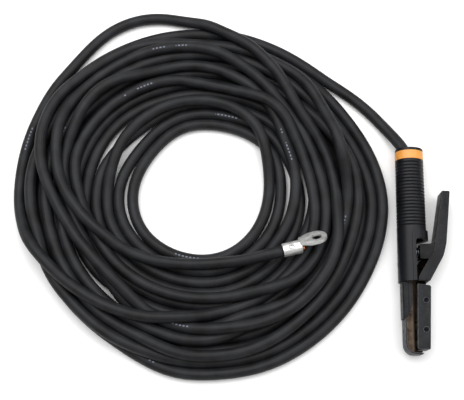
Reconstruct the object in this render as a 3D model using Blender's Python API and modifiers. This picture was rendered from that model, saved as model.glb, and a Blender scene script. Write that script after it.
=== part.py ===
"""A tong-type welding electrode holder on its lead, lying on a table.

The holder's own drawing frame has X across the handle towards the lever, Y along the
handle from its mouth to its rear end, and Z up. Outlines are drawn in that frame, and
the empty holder_frame moves them all, so that the world origin is under the middle of
the holder. Sizes are in metres.
"""

import math

import bmesh
import bpy
from mathutils import Vector

GAP = 0.0003

# Handle: a tapered moulded tube
HANDLE_LENGTH = 0.150
HANDLE_FRONT_R = 0.0162
HANDLE_REAR_R = 0.0155
HANDLE_BORE_R = 0.0127
REAR_BORE_R = 0.0138
REAR_BORE_START = 0.118
GROOVES = 20
GROOVE_PITCH = 0.00375
FIRST_GROOVE_Y = 0.062
GROOVE_WIDTH = 0.0019
GROOVE_DEPTH = 0.0007
BAND_START = 0.1370
BAND_END = 0.1472
BAND_DEPTH = 0.0008
COLLAR_HEIGHT = 0.0014
COLLAR_LENGTH = 0.056
COLLAR_EDGE_X = -0.0027
COLLAR_CORNER_R = 0.006
WINDOW_LENGTH = 0.0465
WINDOW_EDGE_X = 0.0011
WINDOW_CORNER_R = 0.004
AXIS_Z = HANDLE_FRONT_R + COLLAR_HEIGHT

# Jaws: both castings meet on a plane that leans a little across the handle's axis
MEETING_X = 0.00135
MEETING_SLOPE = 0.0357
JAW_OUTER_X = -0.0097
JAW_HALF_DEPTH = 0.0075
BLOCK_HALF_DEPTH = 0.0105
TOE_Y = -0.0754
TOE_BEND_R = 0.0085
TOE_BEND_Y = TOE_Y + TOE_BEND_R
TIP_WALL = 0.0018
GRIP_GROOVES_Y = (-0.044, -0.053, -0.062)

# Pivot and spring
PIVOT_X = -0.0025
PIVOT_Y = 0.009
PIN_R = 0.0025
LUG_R = 0.0063
ARM_HALF_DEPTH = 0.0035
SPRING_Y = 0.0335
SPRING_SEAT_X = -0.0055
SPRING_BOSS_X = 0.0142
SPRING_R = 0.0043
SPRING_WIRE_R = 0.00085
SPRING_TURNS = 6
SEAT_R = 0.0059
SEAT_THICKNESS = 0.0015

# Cable socket, inside the rear half of the handle
SOCKET_R = 0.0105
SOCKET_START = 0.056
SOCKET_END = 0.116
SOCKET_BORE_R = 0.0056
SOCKET_BORE_START = 0.070
CLAMP_SCREWS_Y = (0.083, 0.101)

# Lead: its jacket, and the loose coil that it lies in
CABLE_R = 0.00635
COIL_CENTRE = (-0.233, 0.093)
COIL_OUTER_R = 0.2085
COIL_INNER_R = 0.076
COIL_HEIGHT = 0.038
COIL_INNER_HEIGHT = 0.0235
COIL_STEP_R = 0.152
LUG_TURN = math.radians(15)
LUG_ROLL = math.radians(-47)
LUG_START = (-0.1420, 0.0300)
BARREL_R = 0.0075
BARREL_LENGTH = 0.0205
LUG_HEIGHT = COIL_INNER_HEIGHT + GAP + BARREL_R
PALM_HOLE_R = 0.0056
PALM_R = 0.0112
PALM_CENTRE = 0.0385
PALM_THICKNESS = 0.0030

# Lever: its moulded bar's far corner, the bar's greatest reach from the handle's axis with
# the corner rounded, and the places of its screws
LEVER_TIP = (0.04195, 0.1016)
LEVER_REACH = 0.04178
LEVER_SCREW = (0.0312, 0.0560)
BLOCK_SCREWS = ((0.0114, -0.0200), (0.0102, -0.0513))
TAP_R = 0.0020
SCREW_SEAT_R = 0.0034

# Side screws that hold the handle and the fixed jaw's two insulators, along the holder
HANDLE_SCREW_Y = 0.020
LOWER_SCREW_Y = -0.020
TIP_SCREW_Y = -0.057

# Half the drawing frame's cutting depth: past every wall of the holder
THROUGH = 0.02

# The holder's middle, which the world origin lies under
MIDDLE_X = (LEVER_REACH - HANDLE_FRONT_R) / 2
MIDDLE_Y = (HANDLE_LENGTH + TOE_Y - GAP - TIP_WALL) / 2

COLOURS = {
    "black_moulding": ((0.030, 0.031, 0.034), 0.45, 0.0),
    "black_insulator": ((0.045, 0.046, 0.050), 0.50, 0.0),
    "orange_band": ((0.90, 0.36, 0.06), 0.45, 0.0),
    "copper_alloy": ((0.42, 0.24, 0.13), 0.45, 1.0),
    "copper": ((0.72, 0.32, 0.17), 0.35, 1.0),
    "black_steel": ((0.09, 0.09, 0.10), 0.40, 1.0),
    "spring_steel": ((0.30, 0.30, 0.32), 0.35, 1.0),
    "fibre": ((0.16, 0.07, 0.04), 0.70, 0.0),
    "rubber": ((0.050, 0.050, 0.055), 0.75, 0.0),
    "tinned_copper": ((0.75, 0.75, 0.74), 0.30, 1.0),
}


# Scene helpers


def clear_scene():
    for obj in list(bpy.data.objects):
        bpy.data.objects.remove(obj, do_unlink=True)


def new_collection(name):
    collection = bpy.data.collections.new(name)
    bpy.context.scene.collection.children.link(collection)
    return collection


def new_empty(name, where, parent=None):
    empty = bpy.data.objects.new(name, None)
    empty.location = where
    empty.parent = parent
    empty.empty_display_size = 0.01
    PARTS.objects.link(empty)
    return empty


def finish_of(name):
    material = bpy.data.materials.get(name) or bpy.data.materials.new(name)
    colour, roughness, metallic = COLOURS[name]
    material.use_nodes = True
    shader = material.node_tree.nodes["Principled BSDF"]
    shader.inputs["Base Color"].default_value = (*colour, 1.0)
    shader.inputs["Roughness"].default_value = roughness
    shader.inputs["Metallic"].default_value = metallic
    return material


def add_mesh(name, mesh, where, parent):
    obj = bpy.data.objects.new(name, mesh)
    obj.parent = parent
    obj.location = Vector(where) - (PIVOT_POINT if parent == SWING else Vector())
    PARTS.objects.link(obj)
    return obj


def as_part(obj, finish):
    obj.data.materials.clear()
    obj.data.materials.append(finish_of(finish))
    return obj


def as_tool(obj):
    """Moves an object that only cuts or adds to another into the collection of helpers."""
    PARTS.objects.unlink(obj)
    TOOLS.objects.link(obj)
    obj.hide_render = True
    obj.display_type = "WIRE"
    return obj


def combine(target, operation, *others):
    for other in others:
        modifier = target.modifiers.new(operation.lower(), "BOOLEAN")
        modifier.operation = operation
        modifier.object = as_tool(other)
    return target


# Outlines


def filleted(corners):
    """The outline through corners given as (x, y, radius), with a round bend at each radius."""
    points = []
    for index, (x, y, radius) in enumerate(corners):
        here = Vector((x, y))
        if not radius:
            points.append(here)
            continue
        back = (Vector(corners[index - 1][:2]) - here).normalized()
        on = (Vector(corners[(index + 1) % len(corners)][:2]) - here).normalized()
        half = back.angle(on) / 2
        centre = here + (back + on).normalized() * radius / math.sin(half)
        start = here + back * radius / math.tan(half) - centre
        turn = start.angle_signed(here + on * radius / math.tan(half) - centre)
        steps = max(2, round(abs(turn) / math.radians(15)))
        for step in range(steps + 1):
            angle = math.atan2(start.y, start.x) - turn * step / steps
            points.append(centre + radius * Vector((math.cos(angle), math.sin(angle))))
    return points


def grown(outline, distance):
    """An anticlockwise outline moved outwards, with mitred corners."""
    result = []
    for index, corner in enumerate(outline):
        here = Vector(corner)
        into = (here - Vector(outline[index - 1])).normalized()
        onward = (Vector(outline[(index + 1) % len(outline)]) - here).normalized()
        side = Vector((into.y, -into.x))
        mitre = (side + Vector((onward.y, -onward.x))).normalized()
        result.append(here + mitre * distance / mitre.dot(side))
    return result


def arc(centre, radius, start_deg, end_deg, steps):
    angles = [math.radians(start_deg + (end_deg - start_deg) * i / steps) for i in range(steps + 1)]
    return [(centre[0] + radius * math.cos(a), centre[1] + radius * math.sin(a)) for a in angles]


def meeting_x(y):
    return MEETING_X + MEETING_SLOPE * y


# Solids


def mesh_of_curve(curve):
    """A curve's evaluated mesh with its caps welded on, and the curve removed."""
    guide = bpy.data.objects.new("guide", curve)
    bpy.context.scene.collection.objects.link(guide)
    evaluated = guide.evaluated_get(bpy.context.evaluated_depsgraph_get())
    mesh = bpy.data.meshes.new_from_object(evaluated)
    bpy.data.objects.remove(guide, do_unlink=True)
    bm = bmesh.new()
    bm.from_mesh(mesh)
    bmesh.ops.remove_doubles(bm, verts=bm.verts, dist=1e-6)
    bmesh.ops.recalc_face_normals(bm, faces=bm.faces)
    bm.to_mesh(mesh)
    bm.free()
    return mesh


def plate(name, outline, low, high, parent=None, along="Z", edge=0.0):
    """A flat outline extruded from low to high along Z, or along Y with the outline in XZ.

    A nonzero edge rounds the rims of both flat faces.
    """
    curve = bpy.data.curves.new(name, "CURVE")
    curve.dimensions = "2D"
    curve.fill_mode = "BOTH"
    curve.extrude = (high - low) / 2 - edge
    curve.bevel_depth = edge
    curve.bevel_resolution = 1
    curve.offset = -edge
    spline = curve.splines.new("POLY")
    spline.points.add(len(outline) - 1)
    for point, (x, y) in zip(spline.points, outline):
        point.co = (x, y, 0, 1)
    spline.use_cyclic_u = True
    middle = (low + high) / 2
    where = (0, 0, AXIS_Z + middle) if along == "Z" else (0, middle, AXIS_Z)
    obj = add_mesh(name, mesh_of_curve(curve), where, parent or FRAME)
    if along == "Y":
        obj.rotation_euler = (math.radians(90), 0, 0)
    return obj


def rod(name, radius, start, end, sides=24, parent=None, end_radius=None):
    """A round bar, or a cone, between two points of the drawing frame, with Z from the axis."""
    start, end = (Vector((x, y, z + AXIS_Z)) for x, y, z in (start, end))
    bm = bmesh.new()
    bmesh.ops.create_cone(
        bm,
        cap_ends=True,
        segments=sides,
        radius1=radius,
        radius2=radius if end_radius is None else end_radius,
        depth=(end - start).length,
    )
    mesh = bpy.data.meshes.new(name)
    bm.to_mesh(mesh)
    bm.free()
    obj = add_mesh(name, mesh, (start + end) / 2, parent or FRAME)
    obj.rotation_euler = (end - start).to_track_quat("Z", "Y").to_euler()
    return obj


def turned(name, profile, where, direction, steps=40, closed=True, parent=None):
    """A profile of (radius, height) points turned about an axis through where."""
    mesh = bpy.data.meshes.new(name)
    edges = [(i, i + 1) for i in range(len(profile) - 1)]
    if closed:
        edges.append((len(profile) - 1, 0))
    mesh.from_pydata([(radius, 0, height) for radius, height in profile], edges, [])
    obj = add_mesh(name, mesh, where, parent or FRAME)
    obj.rotation_euler = Vector(direction).to_track_quat("Z", "Y").to_euler()
    screw = obj.modifiers.new("turn", "SCREW")
    screw.steps = steps
    screw.render_steps = steps
    screw.use_merge_vertices = True
    screw.merge_threshold = 1e-6
    return obj


def smooth_route(corners, spacing):
    """Points every spacing along a Catmull-Rom curve through the corners."""
    corners = [Vector(corner) for corner in corners]
    ends = [2 * corners[0] - corners[1], *corners, 2 * corners[-1] - corners[-2]]
    fine = []
    for a, b, c, d in zip(ends, ends[1:], ends[2:], ends[3:]):
        for step in range(40):
            t = step / 40
            fine.append(
                0.5 * (2 * b + (c - a) * t + (2 * a - 5 * b + 4 * c - d) * t**2
                       + (3 * b - a - 3 * c + d) * t**3)
            )
    fine.append(corners[-1])
    travelled = [0.0]
    for before, here in zip(fine, fine[1:]):
        travelled.append(travelled[-1] + (here - before).length)
    count = max(2, round(travelled[-1] / spacing))
    route = []
    for index in range(count + 1):
        wanted = travelled[-1] * index / count
        place = min(range(len(fine)), key=lambda i: abs(travelled[i] - wanted))
        route.append(fine[place])
    return route


def tube(name, radius, route, resolution, parent=None):
    curve = bpy.data.curves.new(name, "CURVE")
    curve.dimensions = "3D"
    curve.bevel_depth = radius
    curve.bevel_resolution = resolution
    curve.use_fill_caps = True
    spline = curve.splines.new("POLY")
    spline.points.add(len(route) - 1)
    for point, place in zip(spline.points, route):
        point.co = (*place, 1)
    return add_mesh(name, mesh_of_curve(curve), (0, 0, 0), parent or FRAME)


def screw_with_head(name, head_r, head, shank_r, length, where, direction, parent=None):
    """A cheese-head screw with a straight slot; where is its head's outer face."""
    profile = [(0, 0), (head_r, 0), (head_r, -head), (shank_r, -head), (shank_r, -length), (0, -length)]
    body = turned(name, profile, where, direction, steps=20, closed=False, parent=parent)
    slot_size = (2.2 * head_r, 0.3 * head_r, head)
    slot = add_mesh(name + "_slot", cube_mesh(name, slot_size), where, parent or FRAME)
    slot.rotation_euler = body.rotation_euler
    return as_part(combine(body, "DIFFERENCE", slot), "black_steel")


def cube_mesh(name, size):
    mesh = bpy.data.meshes.new(name)
    bm = bmesh.new()
    bmesh.ops.create_cube(bm, size=1)
    bmesh.ops.scale(bm, verts=bm.verts, vec=size)
    bm.to_mesh(mesh)
    bm.free()
    return mesh


# Handle


def handle_radius(y):
    return HANDLE_FRONT_R + (HANDLE_REAR_R - HANDLE_FRONT_R) * y / HANDLE_LENGTH


def window_outline(edge_x, length, corner_r):
    """A slot open at the mouth and to the lever's side, with a round inner corner."""
    past_side, before_mouth = 0.03, -0.01
    return filleted([(edge_x, before_mouth, 0), (past_side, before_mouth, 0), (past_side, length, 0),
                     (edge_x, length, corner_r)])


def make_handle():
    profile = [(HANDLE_REAR_R, HANDLE_LENGTH)]
    for y, depth in ((BAND_END, 0), (BAND_END, BAND_DEPTH), (BAND_START, BAND_DEPTH), (BAND_START, 0)):
        profile.append((handle_radius(y) - depth, y))
    for groove in reversed(range(GROOVES)):
        middle = FIRST_GROOVE_Y + groove * GROOVE_PITCH
        for offset, depth in ((GROOVE_WIDTH / 2, 0), (0, GROOVE_DEPTH), (-GROOVE_WIDTH / 2, 0)):
            profile.append((handle_radius(middle + offset) - depth, middle + offset))
    profile += [(HANDLE_FRONT_R, 0), (HANDLE_BORE_R, 0), (HANDLE_BORE_R, REAR_BORE_START)]
    profile += [(REAR_BORE_R, REAR_BORE_START + 0.002), (REAR_BORE_R, HANDLE_LENGTH)]
    handle = turned("handle", profile, (0, 0, AXIS_Z), (0, 1, 0))
    inner = (HANDLE_BORE_R + HANDLE_FRONT_R) / 2
    outer = HANDLE_FRONT_R + COLLAR_HEIGHT
    collar_profile = [(outer, COLLAR_LENGTH), (outer, 0), (inner, 0), (inner, COLLAR_LENGTH)]
    collar = turned("window_collar", collar_profile, (0, 0, AXIS_Z), (0, 1, 0))
    reach = window_outline(COLLAR_EDGE_X, COLLAR_LENGTH, COLLAR_CORNER_R)
    combine(collar, "INTERSECT", plate("collar_reach", reach, -THROUGH, THROUGH))
    opening = window_outline(WINDOW_EDGE_X, WINDOW_LENGTH, WINDOW_CORNER_R)
    window = plate("window", opening, -THROUGH, THROUGH)
    combine(handle, "UNION", collar)
    combine(handle, "DIFFERENCE", window)
    y = HANDLE_SCREW_Y
    screw_hole = rod("handle_screw_hole", 0.0023, (-THROUGH, y, 0), (-0.010, y, 0), sides=16)
    countersink = rod("countersink", 0.0052, (-0.0170, y, 0), (-0.0130, y, 0), 16, end_radius=0.0020)
    combine(handle, "DIFFERENCE", screw_hole, countersink)
    return as_part(handle, "black_moulding")


def make_label_band():
    start, end = BAND_START + GAP, BAND_END - GAP
    inner = handle_radius(BAND_START) - BAND_DEPTH + GAP
    outer = handle_radius(end) + 0.0001
    profile = [(outer, end), (outer, start), (inner, start), (inner, end)]
    return as_part(turned("label_band", profile, (0, 0, AXIS_Z), (0, 1, 0)), "orange_band")


def make_handle_screw():
    profile = [(0, 0), (0.0039, 0), (0.0017, -0.0023), (0.0017, -0.010), (0, -0.010)]
    where = (-0.0159, HANDLE_SCREW_Y, AXIS_Z)
    screw = turned("handle_screw", profile, where, (-1, 0, 0), steps=20, closed=False)
    slot = add_mesh("handle_screw_slot", cube_mesh("slot", (0.009, 0.0011, 0.0018)), where, FRAME)
    slot.rotation_euler = screw.rotation_euler
    return as_part(combine(screw, "DIFFERENCE", slot), "black_steel")


# Fixed jaw and cable socket, one casting


def fixed_jaw_outline():
    face = [(meeting_x(y) - GAP / 2, y) for y in (-0.0715, -0.002)]
    outer_bend = arc((JAW_OUTER_X + TOE_BEND_R, TOE_BEND_Y), TOE_BEND_R, 180, 270, 6)
    toe = [(0.0052, TOE_Y), (0.0062, TOE_Y + 0.0006), (0.0062, TOE_Y + 0.0016), (0.0012, TOE_Y + 0.0019)]
    root = [(0.0010, 0.001), (0.0010, 0.060), (JAW_OUTER_X, 0.060)]
    return outer_bend + toe + [(-0.0006, -0.0730)] + face + root


def make_body_casting():
    casting = plate("body_casting", fixed_jaw_outline(), -JAW_HALF_DEPTH, JAW_HALF_DEPTH)
    socket = rod("socket", SOCKET_R, (0, SOCKET_START, 0), (0, SOCKET_END, 0), sides=32)
    combine(casting, "UNION", socket)
    fork_size = (0.016, 2 * LUG_R + 0.0012, 2 * ARM_HALF_DEPTH + 2 * GAP)
    fork = add_mesh("fork_slot", cube_mesh("fork_slot", fork_size), (-0.0045, PIVOT_Y, AXIS_Z), FRAME)
    pin_hole = rod("body_pin_hole", PIN_R + GAP, (PIVOT_X, PIVOT_Y, -THROUGH), (PIVOT_X, PIVOT_Y, THROUGH))
    spring_well = rod("spring_well", SEAT_R + GAP, (SPRING_SEAT_X, SPRING_Y, 0), (0.004, SPRING_Y, 0))
    bore = rod("cable_bore", SOCKET_BORE_R, (0, SOCKET_BORE_START, 0), (0, 0.12, 0))
    screw_holes = [
        rod(f"clamp_hole_{y:.3f}", 0.0041, (0.003, y, 0), (0.013, y, 0), sides=16) for y in CLAMP_SCREWS_Y
    ]
    side_holes = [
        rod(f"side_hole_{y:.3f}", TAP_R, (-THROUGH, y, 0), (-0.0045, y, 0), sides=12)
        for y in (HANDLE_SCREW_Y, LOWER_SCREW_Y, TIP_SCREW_Y)
    ]
    combine(casting, "DIFFERENCE", fork, pin_hole, spring_well, bore, *screw_holes, *side_holes)
    combine(casting, "DIFFERENCE", *grip_grooves("fixed_grip", FRAME))
    return as_part(casting, "copper_alloy")


def grip_grooves(name, parent):
    return [
        rod(f"{name}_{y:.3f}", 0.0014, (meeting_x(y), y, -0.012), (meeting_x(y), y, 0.012), 4, parent)
        for y in GRIP_GROOVES_Y
    ]


def make_lower_jaw_insulator():
    outer_x, half = -0.0134, 0.0095
    lip_x, inner_x, inner_half = -0.0032, JAW_OUTER_X - GAP, JAW_HALF_DEPTH + GAP
    corner = 0.0035
    section = filleted([(lip_x, half, 0), (outer_x, half, corner), (outer_x, -half, corner),
                        (lip_x, -half, 0)])
    section += [(lip_x, -inner_half), (inner_x, -inner_half), (inner_x, inner_half), (lip_x, inner_half)]
    cover = plate("lower_jaw_insulator", section, -0.040, -0.0007, along="Y")
    sweep = filleted([(0.002, -0.045, 0), (0.002, -0.0225, 0), (-0.0040, -0.0225, 0.004),
                      (-0.0042, -0.031, 0.012), (-0.0101, -0.0375, 0.006), (-0.0101, -0.045, 0)])
    scoop = plate("front_scoop", sweep, -0.015, 0.015)
    grooves = [
        rod(f"long_groove_{side}_{x:.4f}", 0.0006, (x, -0.05, side * half), (x, 0.01, side * half), 8)
        for side in (-1, 1) for x in (-0.0102, -0.0072)
    ]
    y = LOWER_SCREW_Y
    hole = rod("lower_screw_hole", TAP_R, (-THROUGH, y, 0), (-0.008, y, 0), 16)
    seat = rod("lower_screw_seat", SCREW_SEAT_R, (-THROUGH, y, 0), (-0.0120, y, 0), 16)
    combine(cover, "DIFFERENCE", scoop, *grooves, hole, seat)
    return as_part(cover, "black_insulator")


def make_lower_tip_insulator():
    """A guard that follows the fixed jaw's outer edge and wraps round its toe."""
    inner_r = TOE_BEND_R + GAP
    centre = (JAW_OUTER_X + TOE_BEND_R, TOE_BEND_Y)
    outline = arc(centre, inner_r + TIP_WALL, 180, 270, 6)
    outline += [(0.0060, TOE_Y - GAP - TIP_WALL), (0.0075, TOE_Y - GAP)]
    outline += arc(centre, inner_r, 270, 180, 6)
    start_y = -0.0403
    outline += [(JAW_OUTER_X - GAP, start_y), (JAW_OUTER_X - GAP - TIP_WALL, start_y)]
    guard = plate("lower_tip_insulator", outline, -0.0092, 0.0092)
    y = TIP_SCREW_Y
    hole = rod("tip_screw_hole", TAP_R, (-THROUGH, y, 0), (-0.008, y, 0), 16)
    seat = rod("tip_screw_seat", 0.0031, (-THROUGH, y, 0), (-0.0111, y, 0), 16)
    return as_part(combine(guard, "DIFFERENCE", hole, seat), "black_insulator")


# Lever side


def block_outline():
    return filleted([(0.0026, -0.0023, 0.0014), (0.0002, -0.0723, 0.0016), (0.0143, -0.0723, 0.0016),
                     (0.0173, -0.0040, 0.0022)])


def pocket_outline():
    return [(-0.004, -0.0704), (0.0120, -0.0704), (0.0149, 0.004), (-0.004, 0.004)]


def make_upper_jaw_insulator():
    half = BLOCK_HALF_DEPTH
    block = plate("upper_jaw_insulator", block_outline(), -half, half, SWING, edge=0.0011)
    pocket = plate("jaw_pocket", pocket_outline(), -0.0073, 0.0073, SWING)
    combine(block, "DIFFERENCE", pocket)
    for x, y in BLOCK_SCREWS:
        hole = rod(f"block_hole_{y:.3f}", 0.0021, (x, y, 0), (x, y, THROUGH), 16, SWING)
        seat = rod(f"block_seat_{y:.3f}", 0.0029, (x, y, half - 0.0021), (x, y, THROUGH), 16, SWING)
        combine(block, "DIFFERENCE", hole, seat)
    return as_part(block, "black_insulator")


def arm_outline():
    """The lever's cast arm, from its pivot lug to its end inside the thumb bar."""
    lug = arc((PIVOT_X, PIVOT_Y), LUG_R, 90, 270, 8)
    rest = [(0.0022, 0.0027), (0.0034, -0.0010), (0.0034, -0.0120), (0.0120, -0.0120), (0.0132, 0.0006),
            (0.0175, 0.0085), (0.0290, 0.0290), (0.0326, 0.0460), (0.0372, 0.0850), (0.0330, 0.0855),
            (0.0285, 0.0500), (0.0252, 0.0360), (0.0205, 0.0280), (0.0080, 0.0240), (0.0045, 0.0190),
            (0.0026, 0.0153)]
    return lug + rest


def make_lever_casting():
    near, far, half = -0.0032, -0.0701, 0.0070
    jaw = [(meeting_x(y) + GAP / 2, y) for y in (near, far)] + [(0.0117, far), (0.0143, near)]
    casting = plate("lever_casting", jaw, -half, half, SWING)
    arm = plate("lever_arm", arm_outline(), -ARM_HALF_DEPTH, ARM_HALF_DEPTH, SWING)
    combine(casting, "UNION", arm)
    pin_ends = (PIVOT_X, PIVOT_Y, -THROUGH), (PIVOT_X, PIVOT_Y, THROUGH)
    pin_hole = rod("lug_pin_hole", PIN_R + GAP, *pin_ends, parent=SWING)
    holes = [
        rod(f"jaw_tap_{y:.3f}", TAP_R, (x, y, 0.0005), (x, y, THROUGH), 12, SWING)
        for x, y in BLOCK_SCREWS
    ]
    lever_tap = rod("lever_tap", 0.0017, (*LEVER_SCREW, -THROUGH), (*LEVER_SCREW, 0.0015), 12, SWING)
    combine(casting, "DIFFERENCE", pin_hole, *holes, lever_tap, *grip_grooves("moving_grip", SWING))
    return as_part(casting, "copper_alloy")


def make_lever_insulator():
    bar = filleted([(0.0036, 0.0008, 0), (0.0164, 0.0008, 0.0015), (0.0323, 0.0290, 0.025),
                    (0.0358, 0.0430, 0.030), (*LEVER_TIP, 0.0015), (0.0329, LEVER_TIP[1], 0.0015),
                    (0.0242, 0.0505, 0), (0.0208, 0.0332, 0.009), (0.0042, 0.0058, 0)])
    half = BLOCK_HALF_DEPTH
    lever = plate("lever_insulator", bar, -half, half, SWING, edge=0.0009)
    housing = [(0.0072, 0.0256), (0.0170, 0.0256), (0.0280, 0.0300), (0.0280, 0.0475),
               (0.0242, 0.0475), (0.0203, 0.0424), (0.0072, 0.0414)]
    combine(lever, "UNION", plate("spring_housing", housing, -0.0080, 0.0080, SWING))
    well_ends = (0.0040, SPRING_Y, 0), (SPRING_BOSS_X, SPRING_Y, 0)
    well = rod("housing_well", SEAT_R + GAP, *well_ends, parent=SWING)
    slot_half = ARM_HALF_DEPTH + GAP
    slot = plate("arm_slot", grown(arm_outline(), GAP), -slot_half, slot_half, SWING)
    hole = rod("lever_hole", TAP_R, (*LEVER_SCREW, -THROUGH), (*LEVER_SCREW, 0), 12, SWING)
    seat_ends = (*LEVER_SCREW, -THROUGH), (*LEVER_SCREW, 0.0024 - half)
    seat = rod("lever_seat", SCREW_SEAT_R, *seat_ends, 16, SWING)
    combine(lever, "DIFFERENCE", well, slot, hole, seat)
    return as_part(lever, "black_insulator")


def make_lever_screws():
    for index, (x, y) in enumerate(BLOCK_SCREWS):
        name = ("jaw_screw_rear", "jaw_screw_front")[index]
        where = (x, y, AXIS_Z + BLOCK_HALF_DEPTH - 0.0006)
        screw_with_head(name, 0.0026, 0.0012, 0.0017, 0.0085, where, (0, 0, 1), SWING)
    where = (*LEVER_SCREW, AXIS_Z - BLOCK_HALF_DEPTH + 0.0004)
    screw_with_head("lever_screw", 0.0031, 0.0017, 0.0014, 0.0105, where, (0, 0, -1), SWING)


# Pivot, spring and clamping parts


def make_pivot_pin():
    chamfer, half = 0.0005, 0.0092
    profile = [(0, half), (PIN_R - chamfer, half), (PIN_R, half - chamfer)]
    profile += [(radius, -height) for radius, height in reversed(profile)]
    where = (PIVOT_X, PIVOT_Y, AXIS_Z)
    return as_part(turned("pivot_pin", profile, where, (0, 0, 1), 24, closed=False), "black_steel")


def seat_profile():
    """A thin washer with a peg that centres the spring."""
    return [(0, SEAT_THICKNESS + 0.0025), (0.0026, SEAT_THICKNESS + 0.0025), (0.0029, SEAT_THICKNESS),
            (SEAT_R, SEAT_THICKNESS), (SEAT_R, 0), (0, 0)]


def make_spring_parts():
    inner_x = SPRING_SEAT_X + GAP
    outer_x = SPRING_BOSS_X - GAP
    seats = (
        ("spring_seat_inner", inner_x, 1, FRAME),
        ("spring_seat_outer", outer_x, -1, SWING),
    )
    for name, x, way, parent in seats:
        where = (x, SPRING_Y, AXIS_Z)
        as_part(turned(name, seat_profile(), where, (way, 0, 0), 24, False, parent), "fibre")
    start = inner_x + SEAT_THICKNESS + GAP + SPRING_WIRE_R
    end = outer_x - SEAT_THICKNESS - GAP - SPRING_WIRE_R
    points_per_turn = 12
    route = []
    for index in range(SPRING_TURNS * points_per_turn + 1):
        angle = 2 * math.pi * index / points_per_turn
        x = start + (end - start) * index / (SPRING_TURNS * points_per_turn)
        route.append((x, SPRING_Y + SPRING_R * math.cos(angle), AXIS_Z + SPRING_R * math.sin(angle)))
    as_part(tube("spring", SPRING_WIRE_R, route, 1), "spring_steel")


def make_clamp_parts():
    for index, y in enumerate(CLAMP_SCREWS_Y):
        name = ("cable_screw_front", "cable_screw_rear")[index]
        screw = rod(name, 0.0038, (0.0059, y, 0), (0.0108, y, 0), 16)
        socket = rod(name + "_key", 0.0023, (0.0080, y, 0), (0.0120, y, 0), 6)
        as_part(combine(screw, "DIFFERENCE", socket), "black_steel")
    start, end = 0.0715, 0.1188
    outer = SOCKET_BORE_R - GAP
    inner = outer - 0.0006
    length = 0.0435
    sleeve_profile = [(outer, length), (outer, 0), (inner, 0), (inner, length)]
    as_part(turned("copper_sleeve", sleeve_profile, (0, start, AXIS_Z), (0, 1, 0), 24), "copper")
    as_part(rod("conductor_holder_end", 0.0043, (0, start, 0), (0, end, 0), 16), "copper")


# Lead, coil and lug


def make_lead():
    route = [(0, 0.1198, AXIS_Z), (0, 0.1350, AXIS_Z), (-0.0003, 0.1500, AXIS_Z),
             (-0.0035, 0.1595, 0.0174), (-0.0105, 0.1680, 0.0167), (-0.0200, 0.1776, 0.0152),
             (-0.0310, 0.1899, 0.0127), (-0.0415, 0.2012, 0.0104), (-0.0500, 0.2086, 0.0089)]
    as_part(tube("lead_cable", CABLE_R, smooth_route(route, 0.012), 3), "rubber")


def make_coil():
    """One plain ring of the outer shape that the loose turns fill, lower where the lug lies."""
    shoulder = 0.6 * COIL_HEIGHT
    profile = [(COIL_STEP_R + 0.020, COIL_HEIGHT), (COIL_OUTER_R, shoulder), (COIL_OUTER_R, 0),
               (COIL_INNER_R, 0), (COIL_INNER_R, COIL_INNER_HEIGHT), (COIL_STEP_R, COIL_INNER_HEIGHT)]
    ring = turned("lead_coil", profile, (*COIL_CENTRE, 0), (0, 0, 1), 48)
    as_part(ring, "rubber")


def make_tail():
    height = LUG_HEIGHT
    end = Vector((*LUG_START, height)) - GAP * Vector((math.cos(LUG_TURN), math.sin(LUG_TURN), 0))
    route = [(-0.2250, 0.0150, height), (-0.2080, 0.0160, height), (-0.1840, 0.0195, height),
             (-0.1600, 0.0253, height), end]
    as_part(tube("lead_tail", CABLE_R, smooth_route(route, 0.022), 3), "rubber")


def make_lug():
    """A crimp lug: its barrel along X, its palm flat on the barrel's upper side."""
    carrier = new_empty("lug_frame", (*LUG_START, LUG_HEIGHT), FRAME)
    carrier.rotation_euler = (LUG_ROLL, 0, LUG_TURN)

    def laid(obj, where, turn=(0, 0, 0)):
        obj.parent = carrier
        obj.location = where
        obj.rotation_euler = turn
        return obj

    along = (0, math.radians(90), 0)
    barrel = rod("cable_lug", BARREL_R, (0, 0, 0), (BARREL_LENGTH, 0, 0), 24)
    laid(barrel, (BARREL_LENGTH / 2, 0, 0), along)
    neck = [(BARREL_LENGTH - 0.0015, -0.0055), (PALM_CENTRE - 0.0080, -PALM_R + 0.0002)]
    palm_outline = neck + arc((PALM_CENTRE, 0), PALM_R, -85, 85, 12) + [(x, -y) for x, y in reversed(neck)]
    palm_z = BARREL_R - PALM_THICKNESS / 2 + 0.0001
    palm = laid(plate("palm", palm_outline, 0, PALM_THICKNESS), (0, 0, palm_z))
    hole = laid(rod("stud_hole", PALM_HOLE_R, (0, 0, 0), (0, 0, 0.01)), (PALM_CENTRE, 0, palm_z))
    bore = laid(rod("barrel_bore", 0.0055, (0, 0, 0), (0.05, 0, 0)), (0, 0, 0), along)
    combine(barrel, "UNION", palm)
    combine(barrel, "DIFFERENCE", hole, bore)
    as_part(barrel, "tinned_copper")
    length = BARREL_LENGTH + 0.0012
    strands = rod("conductor_lug_end", 0.0050, (0, 0, 0), (length, 0, 0), 16)
    as_part(laid(strands, (length / 2 + 0.0001, 0, 0), along), "copper")


clear_scene()
PARTS = new_collection("electrode_holder")
TOOLS = new_collection("cutters")
PIVOT_POINT = Vector((PIVOT_X, PIVOT_Y, AXIS_Z))
SWING = None
FRAME = new_empty("holder_frame", (-MIDDLE_X, -MIDDLE_Y, 0))
SWING = new_empty("jaw_pivot", PIVOT_POINT, FRAME)

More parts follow.
